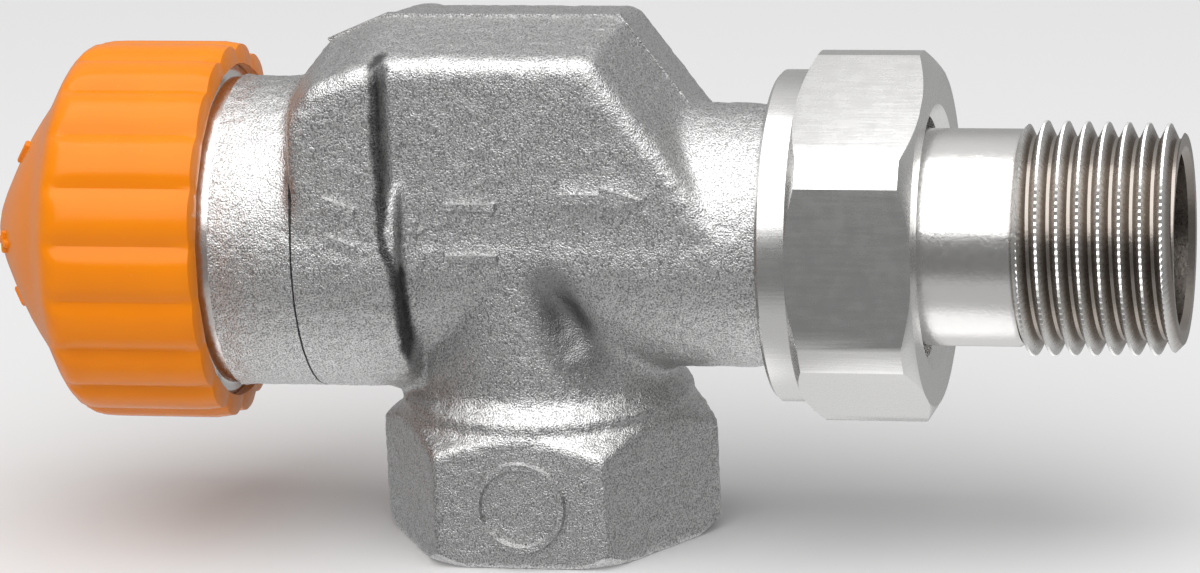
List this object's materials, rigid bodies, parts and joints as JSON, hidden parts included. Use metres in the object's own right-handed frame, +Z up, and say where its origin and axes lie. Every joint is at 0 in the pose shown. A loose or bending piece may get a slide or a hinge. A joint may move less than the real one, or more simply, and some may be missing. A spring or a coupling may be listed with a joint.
{
  "type": "thermostatic radiator valve",
  "caption": "Axial thermostatic radiator valve with a bottom inlet, cast body, valve insert under a ribbed screw cap, union nut and threaded tailpiece.",
  "frame": {"origin": "middle of the inlet's end face, which is the plane that the valve stands on", "axes": "+Z up along the inlet axis, away from the pipe; +X along the main axis from the cap towards the tailpiece; the front with the flow arrow faces -Y"},
  "size_m": [0.1088, 0.0342, 0.0476],
  "materials": {
    "cast_nickel": "rough nickel-plated casting",
    "turned_nickel": "satin nickel-plated brass, turned",
    "orange_plastic": "moulded plastic, glossy",
    "brass": "turned brass",
    "stainless": "stainless steel",
    "rubber": "black rubber",
    "white_plastic": "moulded plastic",
    "black_plastic": "glass-filled plastic"
  },
  "bodies": {
    "body": {"valve_body": "cast_nickel", "insert_bush": "brass", "bush_o_ring": "rubber"},
    "preset": {"cartridge": "brass", "cartridge_o_ring": "rubber", "preset_dial": "white_plastic", "dial_clip": "stainless", "gland_nut": "brass", "gland_o_ring": "rubber", "throttle_sleeve": "black_plastic", "spring_seat": "brass", "spring_clip": "stainless", "return_spring": "stainless"},
    "stem": {"push_pin": "stainless", "spindle": "stainless", "plug_carrier": "brass", "seal_disc": "rubber", "disc_washer": "stainless", "disc_nut": "stainless"},
    "cap": {"protective_cap": "orange_plastic"},
    "tail": {"tailpiece": "turned_nickel", "tail_o_ring": "rubber"},
    "nut": {"union_nut": "turned_nickel"}
  },
  "joints": [
    {"name": "preset_turn", "type": "hinge", "parent": "body", "child": "preset", "pos_m": [-0.03, 0, 0.0275], "axis": [1, 0, 0], "range_deg": [0, 315]},
    {"name": "stem_travel", "type": "slide", "parent": "body", "child": "stem", "axis": [1, 0, 0], "range_m": [0, 0.003], "deforming": ["return_spring"]},
    {"name": "cap_turn", "type": "hinge", "parent": "stem", "child": "cap", "pos_m": [-0.04, 0, 0.0275], "axis": [1, 0, 0], "range_deg": [0, 720]},
    {"name": "tail_travel", "type": "slide", "parent": "body", "child": "tail", "axis": [1, 0, 0], "range_m": [0, 0.01]},
    {"name": "nut_turn", "type": "hinge", "parent": "tail", "child": "nut", "pos_m": [0.03, 0, 0.0275], "axis": [1, 0, 0], "range_deg": [0, 1985]}
  ],
  "couplings": [
    {"joint": "cap_turn", "follows": "stem_travel", "rad_per_m": 4188.8},
    {"joint": "nut_turn", "follows": "tail_travel", "rad_per_m": 3463.7}
  ]
}
